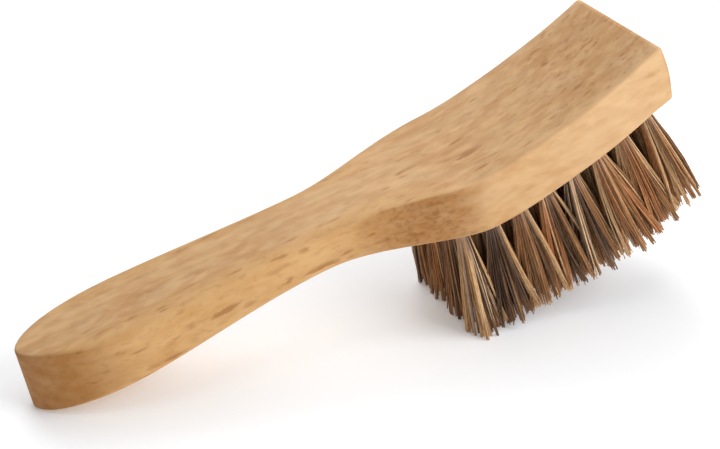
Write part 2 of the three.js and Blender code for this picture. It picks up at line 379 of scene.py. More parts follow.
@dataclass(frozen=True)
class BeechFinish:
    """Sanded bare beech: pale tan, with flecks and streaks along the grain and darker end grain.

    A pattern's size is given along, across and up the stock. A zone is where a share goes from 0 to 1:
    along the stock, or, for a flank, out from its middle.
    """

    placement: Placement
    pale: Colour = linear(214, 172, 122)
    deep: Colour = linear(190, 142, 90)
    fleck: Colour = linear(144, 86, 30)
    end_grain: Colour = linear(152, 92, 26)
    golden: Colour = linear(208, 158, 92)
    end_pore: Colour = linear(118, 66, 20)
    wear_and_highlight: Colour = linear(226, 186, 136)
    # paler colour of the rounded edges: partly wear, partly a painted highlight on the arris
    grey: Colour = linear(198, 164, 124)
    sapwood: Colour = linear(230, 194, 152)
    waver_size: Triple = (34.0, 16.0, 16.0)
    wobble_size: Triple = (3.6, 1.7, 1.7)
    streak_size: Triple = (24.0, 3.4, 3.8)
    cloud_size: Triple = (26.0, 10.0, 10.0)
    fibre_size: Triple = (7.0, 0.22, 0.22)
    mottle_size: Triple = (6.5, 3.0, 3.0)
    greying_size: Triple = (15.0, 8.0, 8.0)
    patch_size: Triple = (36.0, 14.0, 14.0)
    dash_size: Triple = (18.0, 3.3, 3.5)
    fleck_size: Triple = (6.5, 2.6, 2.7)
    mark_size: Triple = (13.0, 2.0, 2.2)
    tick_size: Triple = (3.8, 1.6, 1.6)
    spot_size: Triple = (3.2, 2.0, 2.0)
    blotch_size: Triple = (9.0, 5.0, 5.0)
    pore_size: Triple = (2.2, 1.3, 1.3)
    heart_across: float = 26.0
    heart_depth: float = 74.0
    ring_rate: float = 1.7
    figure_zone: Span = (105.0, 150.0)
    head_zone: Span = (126.0, 142.0)
    head_flank: Span = (19.0, 23.0)
    toe_zone: Span = (156.0, 192.0)
    toe_flank: Span = (23.5, 21.0)
    handle_zone: Span = (136.0, 108.0)
    handle_flank: Span = (7.0, 12.0)
    neck_start: Span = (72.0, 96.0)
    neck_end: Span = (146.0, 118.0)
    sapwood_zone: Span = (136.0, 196.0)
    sapwood_flank: Span = (17.0, 23.5)
    sanded_zone: Span = (192.0, 204.0)
    shoulder_start: Span = (84.0, 104.0)
    shoulder_end: Span = (160.0, 146.0)
    bump_height: float = 0.12 * MILLIMETRE

    def material(self) -> Material:
        """Builds the material from noise and spots that are stretched along the handle."""
        shader = Shader("beech")
        places = self.placement.local_places(shader)
        along, aside, _ = shader.split(places)
        across = abs(aside)
        waver = shader.noise(places, self.waver_size) - 0.5
        grain = shader.shifted(places, 0.0, waver * 2.6, waver * 2.2)
        wobble = shader.noise(places, self.wobble_size) - 0.5
        ragged = shader.shifted(grain, wobble * 5.0, wobble * 1.1, wobble * -1.0)
        streaks = shader.noise(grain, self.streak_size, 1.5)
        clouds = shader.noise(grain, self.cloud_size)
        fibres = shader.noise(grain, self.fibre_size)
        mottle = shader.noise(ragged, self.mottle_size, 1.5)
        rings = self.rings(shader, grain)
        toe = along.ramp(*self.toe_zone) * across.ramp(*self.toe_flank)
        tone = streaks * 0.42 + clouds * 0.4 + mottle * 0.6 + rings * 0.05 + toe * 0.08
        colour = shader.mix(tone.ramp(0.48, 0.98), self.pale, self.deep)
        greying = shader.noise(grain, self.greying_size).ramp(0.45, 0.7)
        colour = shader.mix(greying * 0.3, colour, self.grey)
        colour = shader.mix(self.outer_wood(along, across) * 0.3, colour, self.sapwood)
        colour = shader.mix(self.handle_side(along, across) * 0.4, colour, self.golden)
        spots = shader.noise(places, self.spot_size, 1.0).ramp(0.5, 0.76)
        flecks = self.flecks(shader, grain, ragged) * self.figure(along, across) + spots * toe * 0.5
        flecks = flecks.ramp(-0.08, 1.05)
        colour = shader.mix(flecks * 0.62, colour, self.fleck)
        arris = shader.attribute("arris")
        # end grain is less dark on the rounded edges, part of their wear and painted highlight
        end = self.across_grain(shader).ramp(0.04, 0.4) * (1 - arris * 0.4) * self.sawn(along)
        blotches = shader.noise(places, self.blotch_size).ramp(0.3, 0.7)
        colour = shader.mix(end * (0.54 + blotches * 0.16 + rings * 0.06), colour, self.end_grain)
        pores = shader.noise(places, self.pore_size).ramp(0.42, 0.7)
        colour = shader.mix(end * pores * self.open_pores(along), colour, self.end_pore)
        height = fibres * 0.2 + streaks * 0.4 - flecks * 0.4
        return shader.dress({
            # paler on the rounded edges: wear, and a painted highlight on the arris
            "Base Color": shader.mix(arris * 0.18, colour, self.wear_and_highlight),
            "Roughness": 0.56 + streaks * 0.1 + fibres * 0.08 + end * 0.12,
            "Specular IOR Level": 0.32,
            "Normal": shader.bump(height, self.bump_height, 0.5),
        })

    def rings(self, shader: Shader, grain: Socket) -> Value:
        """Growth rings: a sine of the distance from the tree's heart, which lies well below the stock."""
        _, aside, height = shader.split(grain)
        across = aside - self.heart_across
        height = height + self.heart_depth
        distance = (across * across + height * height) ** 0.5
        return (distance * self.ring_rate).math("SINE") * 0.5 + 0.5

    def flecks(self, shader: Shader, grain: Socket, ragged: Socket) -> Value:
        """Dark flecks of the rays: dashes and spots, most in patches, with ticks and thin marks all over.

        Args:
            shader: the wood's shader.
            grain: places that waver with the grain.
            ragged: the same, with ragged edges.

        Returns:
            How dark the flecks are; more than 1 where several fall together.
        """
        patches = shader.noise(grain, self.patch_size).ramp(0.4, 0.62)
        dashes = shader.spindles(ragged, self.dash_size, 0.48, 0.55)
        spots = shader.spindles(ragged, self.fleck_size, 0.48, 0.6)
        marks = shader.spindles(ragged, self.mark_size, 0.36, 0.6)
        ticks = shader.noise(ragged, self.tick_size, 1.0).ramp(0.5, 0.78)
        gathered = dashes * (0.25 + patches * 0.6) + spots * (0.25 + patches * 0.4)
        return gathered + ticks * 0.3 + marks * 0.7

    def figure(self, along: Value, across: Value) -> Value:
        """How strongly flecked the wood is: most on the handle's sides and the head's top."""
        most = 0.45 + along.ramp(*self.figure_zone) * 0.65 + self.handle_side(along, across) * 0.8
        head_side = along.ramp(*self.head_zone) * across.ramp(*self.head_flank)
        return most * (1 - head_side * 0.72)

    def handle_side(self, along: Value, across: Value) -> Value:
        """The golden, flecked sides of the handle, as a share that fades out before the head."""
        return along.ramp(*self.handle_zone) * across.ramp(*self.handle_flank)

    def outer_wood(self, along: Value, across: Value) -> Value:
        """Paler sapwood along the sides of the head and round the neck, fading out elsewhere."""
        neck = along.ramp(*self.neck_start) * along.ramp(*self.neck_end)
        return along.ramp(*self.sapwood_zone) * across.ramp(*self.sapwood_flank) + neck * 0.4

    def sawn(self, along: Value) -> Value:
        """How dark the cut grain is: fully at the handle's end and the shoulders, less at the sanded toe."""
        return 1 - along.ramp(*self.sanded_zone) * 0.5

    def open_pores(self, along: Value) -> Value:
        """How plainly the pores show where the grain is cut: most on the sawn shoulders."""
        return 0.1 + along.ramp(*self.shoulder_start) * along.ramp(*self.shoulder_end) * 0.36

    def across_grain(self, shader: Shader) -> Value:
        """How squarely the surface cuts the grain, from 0 along it to 1 across it; less on the planed top."""
        cos, sin = math.cos(self.placement.tilt), math.sin(self.placement.tilt)
        normal = shader.node("ShaderNodeNewGeometry").outputs["Normal"]
        dot = {"operation": "DOT_PRODUCT"}
        along = shader.value("ShaderNodeVectorMath", dot, {0: normal, 1: (cos, 0.0, sin)}, 1)
        upward = shader.value("ShaderNodeVectorMath", dot, {0: normal, 1: (-sin, 0.0, cos)}, 1)
        return abs(along) * (1 - abs(upward) * 0.7)


@dataclass(frozen=True)
class FibreFinish:
    """Coarse mixed natural fibre, from near black through rust to blond, with painted fill light that makes
    it paler near the wood.

    A zone is where a share goes from 0 to 1 along a fibre, which runs from 0 at the wood to 1 at its tip.
    """

    palette: tuple[tuple[float, Colour], ...] = (
        (0.0, linear(82, 62, 50)),
        (0.16, linear(122, 90, 66)),
        (0.3, linear(172, 122, 78)),
        (0.42, linear(184, 128, 80)),
        (0.55, linear(196, 126, 78)),
        (0.66, linear(212, 166, 116)),
        (0.8, linear(228, 190, 144)),
        (0.94, linear(180, 154, 132)),
    )
    tip: Colour = linear(198, 146, 98)
    shade: Colour = linear(52, 38, 28)
    # painted fill light: a pale colour mixed into the fibres near the wood, standing in for light in the
    # shaded gaps between the tufts
    painted_fill: Colour = linear(186, 166, 150)
    tip_zone: Span = (0.72, 1.0)
    painted_fill_zone: Span = (0.36, 0.0)
    mottle_size: Triple = (1 / 190, 1 / 14, 1.0)

    def material(self) -> Material:
        """Builds the material from each fibre's place on the palette and the distance along it."""
        shader = Shader("mixed_fibre")
        tone = shader.attribute("tone")
        along = shader.attribute("along")
        ramp = shader.node("ShaderNodeValToRGB", {"stops": self.palette}, {"Fac": tone})
        places = shader.node("ShaderNodeCombineXYZ", sockets={0: tone, 1: along})
        mottle = shader.noise(places.outputs[0], self.mottle_size)
        colour = shader.mix(mottle.ramp(0.35, 0.75) * 0.3, ramp.outputs[0], self.shade)
        colour = shader.mix(along.ramp(*self.tip_zone) * 0.22, colour, self.tip)
        return shader.dress({
            # paler near the wood by painted fill light, lifting the shade between the tufts
            "Base Color": shader.mix(along.ramp(*self.painted_fill_zone) * 0.3, colour, self.painted_fill),
            "Roughness": 0.5 + mottle * 0.3,
            "Specular IOR Level": 0.25,
        })


@dataclass(frozen=True)
class WireFinish:
    """Bare drawn steel wire, a little dull, with fine marks from the die; sizes are in metres."""

    bright: Colour = linear(190, 190, 186)
    dull: Colour = linear(128, 124, 118)
    cloud_size: Triple = (0.0012, 0.0012, 0.0012)
    mark_size: Triple = (0.0001, 0.0001, 0.002)
    bump_height: float = 0.00002

    def material(self) -> Material:
        """Builds the material from cloudy dullness and fine drawing marks."""
        shader = Shader("drawn_wire")
        places = shader.node("ShaderNodeTexCoord").outputs["Object"]
        clouds = shader.noise(places, self.cloud_size, 3.0)
        marks = shader.noise(places, self.mark_size)
        return shader.dress({
            "Base Color": shader.mix(clouds, self.bright, self.dull),
            "Roughness": 0.25 + clouds * 0.25 + marks * 0.1,
            "Metallic": 1.0,
            "Normal": shader.bump(marks, self.bump_height, 0.3),
        })


@dataclass(frozen=True)
class FloorFinish:
    """Plain pale studio floor with a trace of unevenness, whose size is in metres."""

    pale: Colour = (0.9, 0.92, 0.94)
    shade: Colour = (0.885, 0.905, 0.93)
    glow: float = 0.19
    cloud_size: Triple = (0.3, 0.3, 0.3)

    def material(self) -> Material:
        """Builds the material from one large soft noise."""
        shader = Shader("studio_floor")
        places = shader.node("ShaderNodeTexCoord").outputs["Object"]
        clouds = shader.noise(places, self.cloud_size)
        return shader.dress({
            "Base Color": shader.mix(clouds, self.pale, self.shade),
            "Roughness": 0.7 + clouds * 0.1,
            "Specular IOR Level": 0.2,
            "Emission Color": self.pale,
            "Emission Strength": self.glow,
        })


@dataclass
class Stock:
    """The one-piece stock, sawn from a straight blank: handle, neck, shoulders and curved head."""

    placement: Placement
    handle_length: float = 133.0
    head_length: float = 74.7
    curve_radius: float = 193.0
    handle_width: float = 31.3
    end_length: float = 34.0
    end_power: float = 1.85
    neck_width: float = 27.2
    neck_setback: float = 41.0
    shoulder_length: float = 52.0
    shoulder_lag: float = 1.22
    head_width: float = 47.8
    toe_taper: float = 0.6
    taper_length: float = 28.0
    dip: float = 0.8
    dip_place: float = 147.0
    dip_reach: float = 18.0
    end_thickness: float = 20.2
    handle_thickness: float = 13.8
    head_thickness: float = 17.8
    end_edge: float = 0.8
    handle_edge: float = 2.7
    head_edge: float = 0.75
    edge_reach: float = 28.0
    toe_edge: float = 1.9
    toe_low_edge: float = 0.9
    toe_corner: float = 1.2
    toe_lean: float = 1.4
    toe_swell: float = 0.95
    toe_reach: float = 7.0
    end_lean: float = 1.4
    end_reach: float = 22.0
    end_steps: int = 44
    along_step: float = 1.6
    least_step: float = 0.64
    slope_step: float = 0.25
    arc_steps: int = 8
    toe_steps: int = 12
    face_steps: int = 24
    wall_steps: int = 8

    @property
    def length(self) -> float:
        """From the end of the handle to the toe, in line with the handle."""
        return self.handle_length + self.head_length

    @property
    def neck(self) -> float:
        """Distance of the neck from the handle's end."""
        return self.handle_length - self.neck_setback

    @property
    def shoulder(self) -> float:
        """Distance at which the head has its full width."""
        return self.neck + self.shoulder_length

    def point(self, distance: Array, across: Array, depth: Array) -> Array:
        """A point of the stock.

        The top face is level along the handle and then an arc that climbs towards the toe; a point at a
        depth lies on the arc of the same centre whose radius is larger by that depth. A shallow bell-shaped
        dip at the start of the head lowers all of it there.

        Args:
            distance: along the blank from the handle's end.
            across: from the middle, to the far side.
            depth: below the top face.

        Returns:
            Places in the stock's own axes.
        """
        into_head = np.maximum(0, distance - self.handle_length)
        radius = self.curve_radius + depth
        dip = self.dip * np.exp(-(((distance - self.dip_place) / self.dip_reach) ** 2))
        height = self.curve_radius - np.sqrt(radius**2 - into_head**2) - dip
        return np.stack(np.broadcast_arrays(distance, across, height), axis=-1)

    def half_width(self, distance: Array) -> Array:
        """Half the plan's width: a superellipse at the end, then the neck, the shoulders and the head.

        The shoulders widen as a cubic of the distance raised to a power, and the head narrows a little
        towards the toe.
        """
        from_end = np.clip(1 - distance / self.end_length, 0, 1)
        end = self.handle_width / 2 * (1 - from_end**self.end_power) ** (1 / self.end_power)
        handle = smooth(self.handle_width / 2, self.neck_width / 2, self.end_length, self.neck, distance)
        along = np.clip((distance - self.neck) / self.shoulder_length, 0, 1) ** self.shoulder_lag
        head = smooth(self.neck_width / 2, self.head_width / 2, 0, 1, along)
        head = head - smooth(0, self.toe_taper, self.length - self.taper_length, self.length, distance)
        return np.where(distance < self.end_length, end, np.where(distance < self.neck, handle, head))

    def thickness(self, distance: Array) -> Array:
        """Thick at the handle's end, thin at the neck and thick again at the head."""
        handle = smooth(self.end_thickness, self.handle_thickness, 0, self.neck, distance)
        head = smooth(self.handle_thickness, self.head_thickness, self.neck, self.shoulder, distance)
        return np.where(distance < self.neck, handle, head)

    def edge_radius(self, distance: Array) -> Array:
        """Crisp at the handle's end, well rounded along the handle and crisp again round the head."""
        handle = smooth(self.end_edge, self.handle_edge, 0, self.end_length, distance)
        head = smooth(self.handle_edge, self.head_edge, self.neck, self.neck + self.edge_reach, distance)
        return np.where(distance < self.neck, handle, head)

    def inset(self, distance: Array, across: Array) -> Array:
        """Distance of a plan point from the outline.

        In the rounded end it is the distance to the line between the outline's points beside and behind
        the plan point; elsewhere the gap to the side, foreshortened by the side's slope.
        """
        half = self.half_width(distance)
        side = np.maximum(half - np.abs(across), 0)
        share = np.clip(np.abs(across) / (self.handle_width / 2), 0, 1)
        behind = self.end_length * (1 - (1 - share**self.end_power) ** (1 / self.end_power))
        back = np.maximum(distance - behind, 0)
        end = side * back / np.maximum(np.hypot(side, back), TINY)
        wider = self.half_width(distance + self.slope_step) - self.half_width(distance - self.slope_step)
        slope = wider / (2 * self.slope_step)
        return np.where(distance < self.end_length, end, side / np.sqrt(1 + slope**2))

    def rounding(self, distance: Array, across: Array, toe_edge: float) -> tuple[Array, Array]:
        """How the edges round off.

        Within an edge radius of the sides, and of the toe, the faces drop along a quarter circle; near the
        toe's corners the two drops add up.

        Args:
            distance: along the blank.
            across: from the middle.
            toe_edge: the radius of the face's edge at the toe.

        Returns:
            The drop of the top face, or the rise of the underside, and how much wear and painted highlight
            the edge shows there: 1 in the middle of the rounding and 0 where it meets the faces.
        """
        radius = self.edge_radius(distance)
        side = np.clip(1 - self.inset(distance, across) / radius, 0, 1)
        toe = np.clip(1 - (self.length - distance) / toe_edge, 0, 1)
        drop = radius * (1 - np.sqrt(1 - side**2)) + toe_edge * (1 - np.sqrt(1 - toe**2))
        return drop, np.maximum(4 * side * (1 - side), 2 * toe * (1 - toe))

    def distances(self) -> Array:
        """Stations along the blank, close together in the rounded end and over the toe's edge."""
        turn = np.linspace(0, math.pi / 2, self.end_steps, endpoint=False)
        end = self.end_length * (1 - np.cos(turn) ** (2 / self.end_power))
        rounded = max(self.toe_edge, self.toe_corner)
        start = self.length - rounded
        middle = np.arange(self.end_length, start - self.least_step, self.along_step)
        toe = start + rounded * np.sin(np.linspace(0, math.pi / 2, self.toe_steps + 1))
        return np.concatenate([end, middle, toe])

    def surface(self) -> tuple[Array, Array, Array]:
        """The whole skin as rings along the blank, and the toe's end face as a grid.

        Each ring runs across the top from the far side to the near one, down the near wall, back across
        the underside and up the far wall. Across a face the points stand close together in the rounded
        edges, at equal angles of the edge's quarter circle. At the toe's corners the width follows another
        quarter circle.

        Returns:
            Places in the stock's axes by station and by point of the ring, the share of edge wear and painted
            highlight at each, and the end face's places by depth and across.
        """
        distance = self.distances()[:, None]
        radius = self.edge_radius(distance)
        into_corner = np.maximum(0, distance - self.length + self.toe_corner)
        half = self.half_width(distance) - self.toe_corner
        half = half + np.sqrt(np.maximum(self.toe_corner**2 - into_corner**2, 0))
        share = np.minimum(radius / np.maximum(half, TINY), 1)
        turn = np.linspace(0, math.pi / 2, self.arc_steps + 1)
        outer = 1 - share * (1 - np.cos(turn))
        inner = (1 - share) * np.linspace(1, -1, self.face_steps + 1)[1:-1]
        across = half * np.concatenate([outer, inner, -outer[:, ::-1]], axis=1)
        drop, wear_and_highlight = self.rounding(distance, across, self.toe_edge)
        rise, wear_and_highlight_below = self.rounding(distance, across[:, ::-1], self.toe_low_edge)
        deep = self.thickness(distance)
        top = self.point(distance, across, drop)
        underside = self.point(distance, across[:, ::-1], deep - rise)
        fall = np.linspace(0, 1, self.wall_steps + 1)[1:-1]
        low, high = drop[:, -1:], deep - rise[:, :1]
        wall_depth = low + (high - low) * fall
        near = self.point(distance, np.broadcast_to(across[:, -1:], wall_depth.shape), wall_depth)
        far = self.point(distance, np.broadcast_to(across[:, :1], wall_depth.shape), wall_depth[:, ::-1])
        plain = np.zeros(wall_depth.shape)
        rings = np.concatenate([top, near, underside, far], axis=1)
        depth = np.concatenate([drop, wall_depth, deep - rise, wall_depth[:, ::-1]], axis=1)
        rings[..., 0] += self.sanding(distance, depth / deep)
        rounded = np.concatenate([wear_and_highlight, plain, wear_and_highlight_below, plain], axis=1)
        levels = np.concatenate([low[-1], wall_depth[-1], high[-1]])[:, None]
        toe = self.point(np.full_like(levels, self.length), across[-1:], levels)
        toe[..., 0] += self.sanding(np.full_like(levels, self.length), levels / deep[-1])
        return rings, rounded, toe

    def sanding(self, distance: Array, share: Array) -> Array:
        """How far the ends lean and swell lengthwise.

        The toe leans out by a straight line and swells by half a sine wave down its depth, and the end of the
        handle leans out downwards; both fade out within a short reach.

        Args:
            distance: along the blank.
            share: the depth, as a share of the thickness.

        Returns:
            Shifts along the blank.
        """
        toe = smooth(0, 1, self.length - self.toe_reach, self.length, distance)
        end = smooth(1, 0, 0, self.end_reach, distance)
        swell = self.toe_lean * share + self.toe_swell * np.sin(math.pi * share)
        return toe * swell - end * self.end_lean * share

    def build(self, holes: Piece, finish: BeechFinish) -> Piece:
        """Makes the stock.

        Args:
            holes: a closed mesh of what is drilled out of it, which is removed again.
            finish: the wood's finish.

        Returns:
            The drilled stock.
        """
        rings, rounded, toe = self.surface()
        points = np.concatenate([rings.reshape(-1, 3), toe.reshape(-1, 3)])
        end_faces = grid_faces(*toe.shape[:2], False) + rounded.size
        faces = [np.concatenate([grid_faces(*rounded.shape, True), end_faces])]
        stock = new_piece("beech_stock", self.placement.metres(points), faces)
        add_numbers(stock, "arris", np.concatenate([rounded.ravel(), np.zeros(toe[..., 0].size)]))
        self.close(stock.data)
        drill = stock.modifiers.new("drill", "BOOLEAN")
        drill.operation = "DIFFERENCE"
        drill.solver = "EXACT"
        drill.object = holes
        whole = stock.evaluated_get(bpy.context.evaluated_depsgraph_get())
        drilled = bpy.data.meshes.new_from_object(whole)
        stock.modifiers.clear()
        stock.data = drilled
        drilled.set_sharp_from_angle(angle=SHARP_ANGLE)
        bpy.data.objects.remove(holes)
        drilled.materials.clear()
        drilled.materials.append(finish.material())
        return stock

    @staticmethod
    def close(mesh: bpy.types.Mesh) -> None:
        """Joins the points that fall together at the tip of the handle."""
        shape = bmesh.new()
        shape.from_mesh(mesh)
        bmesh.ops.remove_doubles(shape, verts=shape.verts, dist=SAME_POINT)
        bmesh.ops.dissolve_degenerate(shape, edges=shape.edges, dist=SAME_POINT)
        shape.to_mesh(mesh)
        shape.free()


@dataclass
class Filling:
    """The fibre tufts: where they stand in the head, and the fibres of each."""

    stock: Stock
    tufts: int = 8
    rows: int = 4
    heel_margin: float = 1.2
    toe_margin: float = 13.5
    side_margin: float = 7.3
    fan: float = 0.92
    lean: float = math.radians(0.5)
    splay: float = math.radians(1.6)
    trim: float = 38.6
    hole_radius: float = 2.2
    hole_depth: float = 11.0
    hole_point: float = 1.4
    hole_point_share: float = 0.05
    hole_overrun: float = 4.0
    hole_sides: int = 28
    locks: int = 24
    lock_fibres: int = 12
    lock_width: float = 0.42
    lock_stray: float = 0.5
    lock_hold: float = 0.9
    looseness: float = 0.16
    loose_stray: float = 2.0
    most_stray: float = 1.8
    root_radius: float = 1.6
    root_height: float = 7.0
    flare: float = 1.2
    spread_along: float = 9.4
    spread_across: float = 7.2
    heel_spread: float = 0.58
    toe_spread: float = 0.66
    near_spread: float = 0.88
    far_spread: float = 0.64
    heel_sweep: float = 2.2
    tuft_sway: float = 1.0
    end_stray_share: float = 0.5
    end_sway_share: float = 0.3
    fibre_radius: float = 0.25
    fibre_radius_drift: float = 0.22
    fibre_taper: Span = (1.06, 0.82)
    fibre_sides: int = 3
    ragged: float = 0.7
    fibre_ragged_share: float = 0.6
    waver: float = 0.55
    fibre_waver_share: float = 0.5
    short_share: float = 0.07
    short_by: Span = (1.0, 8.0)
    floor_gap: float = 0.15
    seed: int = 73
    heel_mixes: tuple[TuftMix, ...] = (TuftMix.PALE, TuftMix.PLAIN, TuftMix.BROWN, TuftMix.GREYING)
    near_mixes: tuple[TuftMix, ...] = (
        TuftMix.DARK,
        TuftMix.STREAKED,
        TuftMix.RUSTY,
        TuftMix.GREYING,
        TuftMix.BROWN,
        TuftMix.BROWN,
    )
    far_mixes: tuple[TuftMix, ...] = (
        TuftMix.BROWN,
        TuftMix.STREAKED,
        TuftMix.PLAIN,
        TuftMix.BROWN,
        TuftMix.RUSTY,
        TuftMix.STREAKED,
    )
    # the inner rows' mix, pale as painted fill light in the shaded gaps
    inner_mix: TuftMix = TuftMix.PAINTED_FILL
    toe_mix: TuftMix = TuftMix.BROWN
    lone_share: float = 0.22
    tone_drift: float = 0.045
    # locks beyond this place on a tuft's toe side may turn blond, as a painted highlight of its lit flank
    flank_start: float = 0.72
    painted_highlight_share: float = 0.45
    heights: Array = field(default_factory=lambda: np.array([0.0, 0.16, 0.38, 0.66, 1.0]))

    def bend(self, place: Array) -> Array:
        """The angle that the head has climbed by at a place along its curve."""
        return np.maximum(0, place - self.stock.handle_length) / self.stock.curve_radius

    def places(self) -> Array:
        """Places of the tufts along the curve of the head's top face."""
        stock = self.stock
        toe = stock.handle_length + stock.curve_radius * math.asin(stock.head_length / stock.curve_radius)
        return np.linspace(stock.handle_length + self.heel_margin, toe - self.toe_margin, self.tufts)

    def axes(self, row: int) -> tuple[Array, Array]:
        """Where the tufts of one row stand.

        A tuft leans with the head's curve, by the fan's share of it, and outwards by its row's splay.

        Args:
            row: the row's number, from 0 on the near side.

        Returns:
            The tufts' roots at the underside, and their own axes: along, across and up the hole.
        """
        stock = self.stock
        place = self.places()
        outer = stock.head_width / 2 - self.side_margin
        across = outer * (2 * row / (self.rows - 1) - 1)
        bend = self.bend(place)
        radius = stock.curve_radius + stock.head_thickness
        x = np.minimum(place, stock.handle_length) + radius * np.sin(bend)
        root = np.stack([x, np.full_like(x, across), stock.curve_radius - radius * np.cos(bend)], axis=-1)
        middle = self.bend(place[[0, -1]].mean())
        tilt = middle + (bend - middle) * self.fan - self.lean
        splay = self.splay * across / outer
        cos, sin, flat = np.cos(tilt), np.sin(tilt), np.zeros_like(tilt)
        along = np.stack([cos, flat, sin], axis=-1)
        up = np.stack([-sin, flat, cos], axis=-1)
        side = np.array([0.0, 1.0, 0.0])
        tilted_side = side * math.cos(splay) + up * math.sin(splay)
        tilted_up = up * math.cos(splay) - side * math.sin(splay)
        return root, np.stack([along, tilted_side, tilted_up], axis=1)

    def holes(self) -> Piece:
        """What is drilled out of the stock: for each tuft a closed round bar with a pointed top."""
        turn = np.linspace(0, 2 * math.pi, self.hole_sides, endpoint=False)
        ring = np.stack([np.cos(turn), np.sin(turn)], axis=-1) * self.hole_radius
        share = np.array([1.0, 1.0, self.hole_point_share])
        height = np.array([-self.hole_overrun, self.hole_depth, self.hole_depth + self.hole_point])
        flat = ring[None, :, :] * share[:, None, None]
        tall = np.broadcast_to(height[:, None, None], (len(height), self.hole_sides, 1))
        bar = np.concatenate([flat, tall], axis=-1)
        points = []
        for row in range(self.rows):
            root, axes = self.axes(row)
            points.append(root[:, None, None, :] + np.einsum("hsk,tkc->thsc", bar, axes))
        points = np.concatenate(points)
        start = np.arange(len(points))[:, None, None] * bar[..., 0].size
        sides = (grid_faces(len(height), self.hole_sides, True)[None] + start).reshape(-1, 4)
        bottom = (np.arange(self.hole_sides)[::-1][None, None, :] + start).reshape(-1, self.hole_sides)
        last = (len(height) - 1) * self.hole_sides
        top = (np.arange(last, last + self.hole_sides)[None, None, :] + start).reshape(-1, self.hole_sides)
        return new_piece("drillings", self.stock.placement.metres(points), [sides, bottom, top])

    def tones(self, row: int, lock: Array, draw: np.random.Generator) -> Array:
        """Where each fibre lies on the palette: one kind for most of a lock, with a little drift.

        The kinds are dealt out among a tuft's locks in their shares, a few fibres are of a kind of their own,
        and some locks on the toe side are blond as a painted highlight, where the light from the right
        catches each tuft's flank.

        Args:
            row: the row's number.
            lock: the locks' places in their tufts.
            draw: the source of chance.

        Returns:
            Numbers from 0 to 1 by tuft, lock and fibre.
        """
        inner = (self.inner_mix,) * (self.tufts - 2)
        middle = {0: self.near_mixes, self.rows - 1: self.far_mixes}.get(row, inner)
        mixes = [self.heel_mixes[row], *middle, self.toe_mix]
        kinds = np.array([kind.value for kind in FibreKind])
        limits = np.cumsum([mix.value for mix in mixes], axis=1)
        chance = draw.random((self.tufts, self.locks, self.lock_fibres))
        dealt = np.argsort(draw.random((self.tufts, self.locks)), axis=1) + 0.5
        shared = np.broadcast_to(dealt[..., None] / self.locks, chance.shape)
        alone = draw.random(chance.shape) < self.lone_share
        picked = np.where(alone, chance, shared)
        index = (picked[..., None] > limits[:, None, None, :-1]).sum(axis=-1)
        # locks on the toe side of a tuft turn blond: painted highlight where the light from the right catches
        # the tuft's flank
        pale = draw.random((self.tufts, self.locks, 1)) < self.painted_highlight_share
        flank = (lock[..., 0] > self.flank_start) & pale
        index = np.where(flank, list(FibreKind).index(FibreKind.BLOND), index)
        return np.clip(kinds[index] + draw.normal(0, self.tone_drift, chance.shape), 0.0, 1.0)

    def lock_places(self, draw: np.random.Generator) -> Array:
        """Where one row's locks stand in their tufts, in the pattern of a sunflower's seeds, out to 1."""
        seed = np.arange(self.locks) + 0.5
        turn = seed * GOLDEN_TURN + draw.uniform(0, 2 * math.pi, (self.tufts, 1))
        reach = np.sqrt(seed / self.locks)
        return np.stack([reach * np.cos(turn), reach * np.sin(turn)], axis=-1)[:, :, None, :]

    def paths(self, row: int, lock: Array, draw: np.random.Generator) -> Array:
        """Middle lines of one row's fibres, in the tufts' own axes.

        Each fibre runs straight up into the hole, and below the wood it flares from its root to its tip
        as a power of the distance down, bowed by half a sine wave.

        Args:
            row: the row's number.
            lock: the locks' places in their tufts.
            draw: the source of chance.

        Returns:
            Places by tuft, fibre and step, with three numbers last.
        """
        shape = (self.tufts, self.locks, self.lock_fibres)
        loose = draw.normal(0, self.looseness, (*shape, 2))
        root = np.clip(lock * self.lock_hold + loose, -1, 1) * self.root_radius
        spread = np.array([self.spread_along, self.spread_across])
        stray = draw.normal(0, self.lock_stray, (self.tufts, self.locks, 1, 2))
        stray = stray + draw.normal(0, self.lock_width, (*shape, 2)) + loose * self.loose_stray
        stray = np.clip(stray, -self.most_stray, self.most_stray)
        sway = draw.normal(0, self.tuft_sway, (self.tufts, 1, 1, 2))
        stray[[0, -1]] *= self.end_stray_share
        sway[[0, -1]] *= self.end_sway_share
        sway[..., 0] -= self.heel_sweep
        tip = lock * spread * self.held_in(row, lock) + stray + sway
        bow = draw.normal(0, self.waver, (self.tufts, self.locks, 1, 2))
        bow = bow + draw.normal(0, self.waver * self.fibre_waver_share, (*shape, 2))
        length = self.trim + draw.normal(0, self.ragged, (self.tufts, self.locks, 1))
        length = length + draw.normal(0, self.ragged * self.fibre_ragged_share, shape)
        short = draw.random(shape) < self.short_share
        length = np.where(short, length - draw.uniform(*self.short_by, shape), length)
        step = self.heights[:, None]
        side = root[..., None, :] + (tip - root)[..., None, :] * step**self.flare
        side = side + bow[..., None, :] * np.sin(math.pi * step)
        tall = -length[..., None, None] * step
        below = np.concatenate([side, tall], axis=-1)
        inside = np.concatenate([root, np.full((*shape, 1), self.root_height)], axis=-1)
        lines = np.concatenate([inside[..., None, :], below], axis=-2)
        return lines.reshape(self.tufts, -1, len(step) + 1, 3)

    def held_in(self, row: int, lock: Array) -> Array:
        """The share of the spread that a lock has: less on the outer sides of the filling.

        Args:
            row: the row's number.
            lock: the locks' places in their tufts.

        Returns:
            Shares along and across, in the locks' own grid.
        """
        share = np.ones_like(lock)
        share[0, ..., 0] = np.where(lock[0, ..., 0] < 0, self.heel_spread, 1)
        share[-1, ..., 0] = np.where(lock[-1, ..., 0] > 0, self.toe_spread, 1)
        if row == 0:
            share[..., 1] = np.where(lock[..., 1] < 0, self.near_spread, 1)
        if row == self.rows - 1:
            share[..., 1] = np.where(lock[..., 1] > 0, self.far_spread, 1)
        return share

